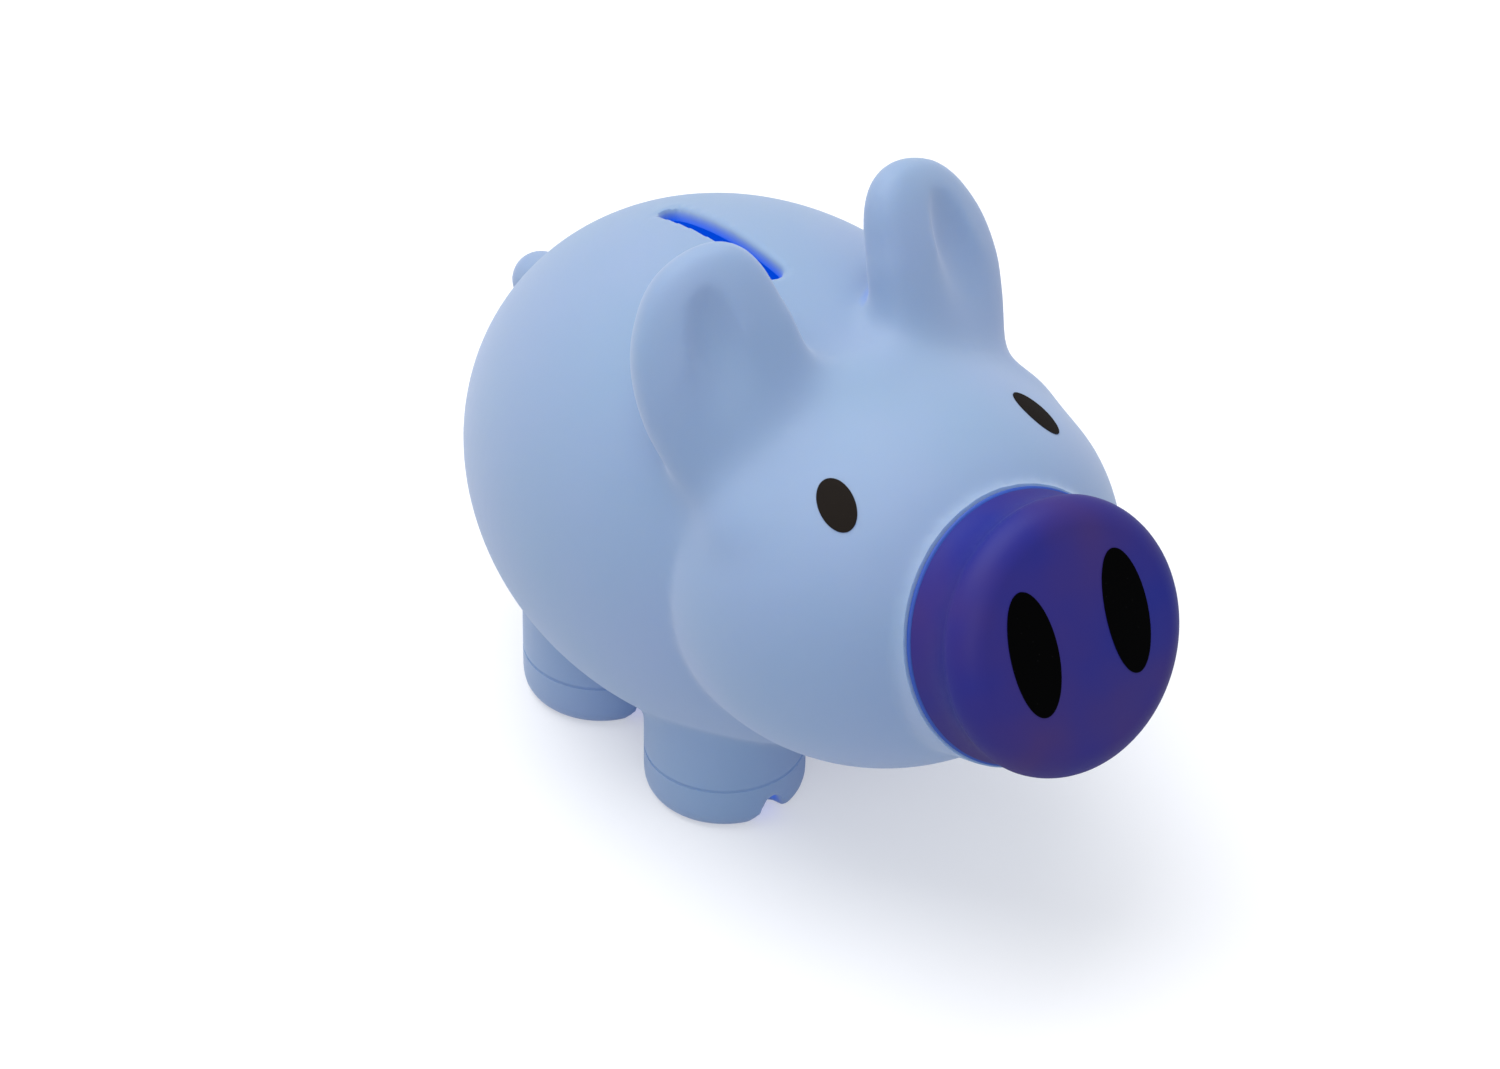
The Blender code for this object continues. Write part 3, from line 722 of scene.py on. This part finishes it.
def start_group(name, inputs, outputs):
    """A shader node group with named inputs as (name, value) and named outputs."""
    group = bpy.data.node_groups.new(name, "ShaderNodeTree")
    for label, value in inputs:
        socket = group.interface.new_socket(name=label, in_out="INPUT", socket_type="NodeSocketFloat")
        socket.default_value = value
    for label in outputs:
        group.interface.new_socket(name=label, in_out="OUTPUT", socket_type="NodeSocketFloat")
    return group, add_node(group, "NodeGroupInput", (-4, 0)), add_node(group, "NodeGroupOutput", (4, 0))


def grain_group():
    """Fine matte grain over a slow swell, as a height and as a mask."""
    inputs = [("Grain Size", 0.4), ("Swell Size", 12)]
    group, given, result = start_group("matte_grain", inputs, ["Height", "Mask"])
    link = group.links.new
    where = add_node(group, "ShaderNodeTexCoord", (-4, 2))
    fine_scale = add_node(group, "ShaderNodeMath", (-3, 1), operation="DIVIDE")
    swell_scale = add_node(group, "ShaderNodeMath", (-3, -1), operation="DIVIDE")
    fine = add_node(group, "ShaderNodeTexNoise", (-2, 1))
    swell = add_node(group, "ShaderNodeTexNoise", (-2, -1))
    both = add_node(group, "ShaderNodeMath", (0, 0), operation="MULTIPLY_ADD")
    fine.inputs["Detail"].default_value = 3
    swell.inputs["Detail"].default_value = 1
    both.inputs[1].default_value = 0.25
    fine_scale.inputs[0].default_value = 1000
    swell_scale.inputs[0].default_value = 1000
    link(given.outputs["Grain Size"], fine_scale.inputs[1])
    link(given.outputs["Swell Size"], swell_scale.inputs[1])
    link(fine_scale.outputs[0], fine.inputs["Scale"])
    link(swell_scale.outputs[0], swell.inputs["Scale"])
    link(where.outputs["Object"], fine.inputs["Vector"])
    link(where.outputs["Object"], swell.inputs["Vector"])
    link(fine.outputs["Fac"], both.inputs[0])
    link(swell.outputs["Fac"], both.inputs[2])
    link(both.outputs[0], result.inputs["Height"])
    link(fine.outputs["Fac"], result.inputs["Mask"])
    return group


def mottle_group():
    """Soft clouds of tone, from 0 to 1."""
    group, given, result = start_group("soft_mottle", [("Cloud Size", 40), ("Contrast", 1)], ["Mask"])
    link = group.links.new
    where = add_node(group, "ShaderNodeTexCoord", (-4, 2))
    scale = add_node(group, "ShaderNodeMath", (-3, 1), operation="DIVIDE")
    clouds = add_node(group, "ShaderNodeTexNoise", (-2, 1))
    middle = add_node(group, "ShaderNodeMath", (-1, 1), operation="SUBTRACT")
    spread = add_node(group, "ShaderNodeMath", (0, 1), operation="MULTIPLY")
    back = add_node(group, "ShaderNodeMath", (1, 1), operation="ADD", use_clamp=True)
    scale.inputs[0].default_value = 1000
    clouds.inputs["Detail"].default_value = 2
    middle.inputs[1].default_value = 0.5
    back.inputs[1].default_value = 0.5
    link(given.outputs["Cloud Size"], scale.inputs[1])
    link(scale.outputs[0], clouds.inputs["Scale"])
    link(where.outputs["Object"], clouds.inputs["Vector"])
    link(clouds.outputs["Fac"], middle.inputs[0])
    link(middle.outputs[0], spread.inputs[0])
    link(given.outputs["Contrast"], spread.inputs[1])
    link(spread.outputs[0], back.inputs[0])
    link(back.outputs[0], result.inputs["Mask"])
    return group


def specks_group():
    """Sparse round specks of dust."""
    inputs = [("Spacing", 12), ("Speck Size", 0.03), ("Share", 0.1)]
    group, given, result = start_group("dust_specks", inputs, ["Mask"])
    link = group.links.new
    where = add_node(group, "ShaderNodeTexCoord", (-4, 2))
    scale = add_node(group, "ShaderNodeMath", (-3, 1), operation="DIVIDE")
    cells = add_node(group, "ShaderNodeTexVoronoi", (-2, 1))
    near = add_node(group, "ShaderNodeMath", (0, 1), operation="LESS_THAN")
    parts = add_node(group, "ShaderNodeSeparateColor", (-1, 0))
    chosen = add_node(group, "ShaderNodeMath", (0, 0), operation="LESS_THAN")
    both = add_node(group, "ShaderNodeMath", (1, 0), operation="MULTIPLY")
    scale.inputs[0].default_value = 1000
    link(given.outputs["Spacing"], scale.inputs[1])
    link(scale.outputs[0], cells.inputs["Scale"])
    link(where.outputs["Object"], cells.inputs["Vector"])
    link(cells.outputs["Distance"], near.inputs[0])
    link(given.outputs["Speck Size"], near.inputs[1])
    link(cells.outputs["Color"], parts.inputs[0])
    link(parts.outputs[0], chosen.inputs[0])
    link(given.outputs["Share"], chosen.inputs[1])
    link(near.outputs[0], both.inputs[0])
    link(chosen.outputs[0], both.inputs[1])
    link(both.outputs[0], result.inputs["Mask"])
    return group


def use_group(tree, group, place, **values):
    made = add_node(tree, "ShaderNodeGroup", place, node_tree=group)
    for key, value in values.items():
        made.inputs[key.replace("_", " ")].default_value = value
    return made


def mix_colours(tree, mask, first, second, place):
    """Blends two colours or colour outputs by a mask output."""
    mix = add_node(tree, "ShaderNodeMix", place, data_type="RGBA")
    tree.links.new(mask, mix.inputs["Factor"])
    for label, colour in (("A", first), ("B", second)):
        socket = next(s for s in mix.inputs if s.name == label and s.type == "RGBA")
        if isinstance(colour, tuple):
            socket.default_value = (*colour, 1)
        else:
            tree.links.new(colour, socket)
    return next(s for s in mix.outputs if s.type == "RGBA")


def spread_value(tree, mask, low, high, place):
    """Turns a 0 to 1 mask output into values from low to high."""
    spread = add_node(tree, "ShaderNodeMapRange", place)
    spread.inputs["To Min"].default_value = low
    spread.inputs["To Max"].default_value = high
    tree.links.new(mask, spread.inputs["Value"])
    return spread.outputs["Result"]


def new_finish(name, **shader_values):
    made = bpy.data.materials.new(name)
    made.use_nodes = True
    tree = made.node_tree
    shader = tree.nodes["Principled BSDF"]
    for key, value in shader_values.items():
        shader.inputs[key.replace("_", " ")].default_value = value
    return made, tree, shader


def grain_bump(tree, shader, grain, strength, distance):
    bump = add_node(tree, "ShaderNodeBump", (-1, -3))
    bump.inputs["Strength"].default_value = strength
    bump.inputs["Distance"].default_value = distance
    tree.links.new(grain.outputs["Height"], bump.inputs["Height"])
    tree.links.new(bump.outputs["Normal"], shader.inputs["Normal"])


def soft_vinyl():
    """Soft-touch vinyl: pale blue and matte, with a painted blue glow over the whole skin standing in for
    light scattered through the vinyl into its shade; deep blue under the outer skin, partly the unpainted
    vinyl's own colour and partly painted light where light reaches it only through the wall.
    """
    made, tree, shader = new_finish("soft_vinyl", Sheen_Weight=0.3, Sheen_Roughness=0.6, IOR=1.45)
    shader.inputs["Subsurface Weight"].default_value = 0.35
    shader.inputs["Subsurface Radius"].default_value = (0.35, 0.55, 1.0)
    shader.inputs["Subsurface Scale"].default_value = 5 * MM
    grain = use_group(tree, groups["grain"], (-5, -3), Grain_Size=0.35, Swell_Size=14)
    mottle = use_group(tree, groups["mottle"], (-5, 2), Cloud_Size=45, Contrast=1.8)
    specks = use_group(tree, groups["specks"], (-5, 0), Spacing=9, Speck_Size=0.035, Share=0.05)
    depth = add_node(tree, "ShaderNodeAttribute", (-5, -1), attribute_name="depth")
    inside = spread_value(tree, depth.outputs["Fac"], 0, 1, (-4, -1))
    inside.node.inputs["From Min"].default_value = 0.8
    inside.node.inputs["From Max"].default_value = 3
    tone = mix_colours(tree, mottle.outputs["Mask"], (0.19, 0.285, 0.37), (0.22, 0.285, 0.40), (-4, 2))
    dusty = mix_colours(tree, specks.outputs["Mask"], tone, (0.10, 0.16, 0.28), (-3, 1))
    # Deep blue under the outer skin: the unpainted vinyl's own colour, and painted light where light would
    # reach it only through the wall.
    deep = mix_colours(tree, inside, dusty, (0.0, 0.11, 0.62), (-2, 1))
    tree.links.new(deep, shader.inputs["Base Color"])
    # Painted light: a faint blue glow over the whole skin and a stronger one under it, standing in for light
    # scattered through the vinyl into shaded parts and the slot.
    painted_blue_glow = mix_colours(tree, inside, (0.05, 0.10, 0.28), (0, 0.10, 0.55), (-2, -1))
    tree.links.new(painted_blue_glow, shader.inputs["Emission Color"])
    shader.inputs["Emission Strength"].default_value = 0.5
    tree.links.new(spread_value(tree, grain.outputs["Mask"], 0.5, 0.66, (-2, -2)), shader.inputs["Roughness"])
    grain_bump(tree, shader, grain, 0.12, 0.12 * MM)
    return made


def frosted_violet():
    """Frosted plastic of the nose: dark violet with blue clouds where the light goes through it."""
    made, tree, shader = new_finish("frosted_violet", IOR=1.46, Specular_IOR_Level=0.22)
    grain = use_group(tree, groups["grain"], (-5, -3), Grain_Size=0.25, Swell_Size=9)
    mottle = use_group(tree, groups["mottle"], (-5, 2), Cloud_Size=26, Contrast=2.2)
    specks = use_group(tree, groups["specks"], (-5, 0), Spacing=7, Speck_Size=0.03, Share=0.08)
    tone = mix_colours(tree, mottle.outputs["Mask"], (0.046, 0.024, 0.150), (0.012, 0.017, 0.215), (-4, 2))
    dusty = mix_colours(tree, specks.outputs["Mask"], tone, (0.10, 0.10, 0.30), (-3, 1))
    tree.links.new(dusty, shader.inputs["Base Color"])
    rough = spread_value(tree, grain.outputs["Mask"], 0.42, 0.55, (-2, -2))
    tree.links.new(rough, shader.inputs["Roughness"])
    grain_bump(tree, shader, grain, 0.1, 0.08 * MM)
    return made


def moulded_plastic(name, first, second, roughness):
    made, tree, shader = new_finish(name, IOR=1.49)
    grain = use_group(tree, groups["grain"], (-5, -3), Grain_Size=0.3, Swell_Size=8)
    mottle = use_group(tree, groups["mottle"], (-5, 2), Cloud_Size=12, Contrast=1.5)
    tone = mix_colours(tree, mottle.outputs["Mask"], first, second, (-4, 2))
    tree.links.new(tone, shader.inputs["Base Color"])
    rough = spread_value(tree, grain.outputs["Mask"], roughness - 0.06, roughness + 0.06, (-2, -2))
    tree.links.new(rough, shader.inputs["Roughness"])
    grain_bump(tree, shader, grain, 0.08, 0.08 * MM)
    return made


def printed_ink(name, first, second, gloss):
    """Flat dark ink with a faint speckle."""
    made, tree, shader = new_finish(name, IOR=1.4, Specular_IOR_Level=gloss)
    grain = use_group(tree, groups["grain"], (-5, -3), Grain_Size=0.3, Swell_Size=3)
    specks = use_group(tree, groups["specks"], (-5, 0), Spacing=0.7, Speck_Size=0.14, Share=0.12)
    tone = mix_colours(tree, specks.outputs["Mask"], first, second, (-4, 2))
    tree.links.new(tone, shader.inputs["Base Color"])
    tree.links.new(spread_value(tree, grain.outputs["Mask"], 0.5, 0.75, (-2, -2)), shader.inputs["Roughness"])
    grain_bump(tree, shader, grain, 0.1, 0.05 * MM)
    return made


def paper_white():
    """Matte white table that shines a little to the camera alone, so that shadows on it stay pale."""
    made, tree, shader = new_finish("paper_white", Roughness=0.9, Specular_IOR_Level=0.1)
    mottle = use_group(tree, groups["mottle"], (-5, 2), Cloud_Size=300, Contrast=1)
    tone = mix_colours(tree, mottle.outputs["Mask"], (0.6, 0.6, 0.61), (0.61, 0.61, 0.61), (-4, 2))
    tree.links.new(tone, shader.inputs["Base Color"])
    seen = add_node(tree, "ShaderNodeLightPath", (-3, -1))
    lift = add_node(tree, "ShaderNodeMath", (-2, -1), operation="MULTIPLY")
    lift.inputs[1].default_value = TABLE_LIFT
    tree.links.new(seen.outputs["Is Camera Ray"], lift.inputs[0])
    shader.inputs["Emission Color"].default_value = (1, 1, 1, 1)
    tree.links.new(lift.outputs[0], shader.inputs["Emission Strength"])
    return made


def place_piece(obj, rides_on, stands_for, finish):
    obj.data.materials.clear()
    obj.data.materials.append(finish)
    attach(obj, rides_on)
    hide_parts(stands_for)


set_camera()
groups = {"grain": grain_group(), "mottle": mottle_group(), "specks": specks_group()}
set_light()
lay_floor()

body = make_body()
nose = make_nose()
place_piece(body, "bank", "body_shell", soft_vinyl())
place_piece(nose, "nose", "nose_cap", frosted_violet())
socket_blue = moulded_plastic("socket_plastic", (0.10, 0.17, 0.46), (0.12, 0.19, 0.50), 0.42)
# The washer is a real ring of the nose mount; its deep saturated blue is painted shade for the blue crease
# line round the nose.
washer_crease_shade_blue = moulded_plastic("washer_painted_crease_shade", (0.01, 0.06, 0.36), (0.02, 0.08, 0.42), 0.5)
neck_violet = moulded_plastic("neck_plastic", (0.03, 0.02, 0.16), (0.03, 0.03, 0.22), 0.42)
place_piece(make_socket(), "bank", "nose_socket", socket_blue)
place_piece(make_washer(), "washer", "nose_washer", washer_crease_shade_blue)
place_piece(make_neck(), "nose", "nose_neck", neck_violet)
eye_ink = printed_ink("eye_ink", (0.011, 0.008, 0.006), (0.02, 0.015, 0.012), 0.08)
nostril_ink = printed_ink("nostril_ink", (0.001, 0.001, 0.001), (0.012, 0.012, 0.012), 0.02)
for word, side in (("right", -1), ("left", 1)):
    place_piece(make_eye(word, side), "bank", "eye_print_" + word, eye_ink)
    place_piece(make_nostril(word), "nose", "nostril_print_" + word, nostril_ink)
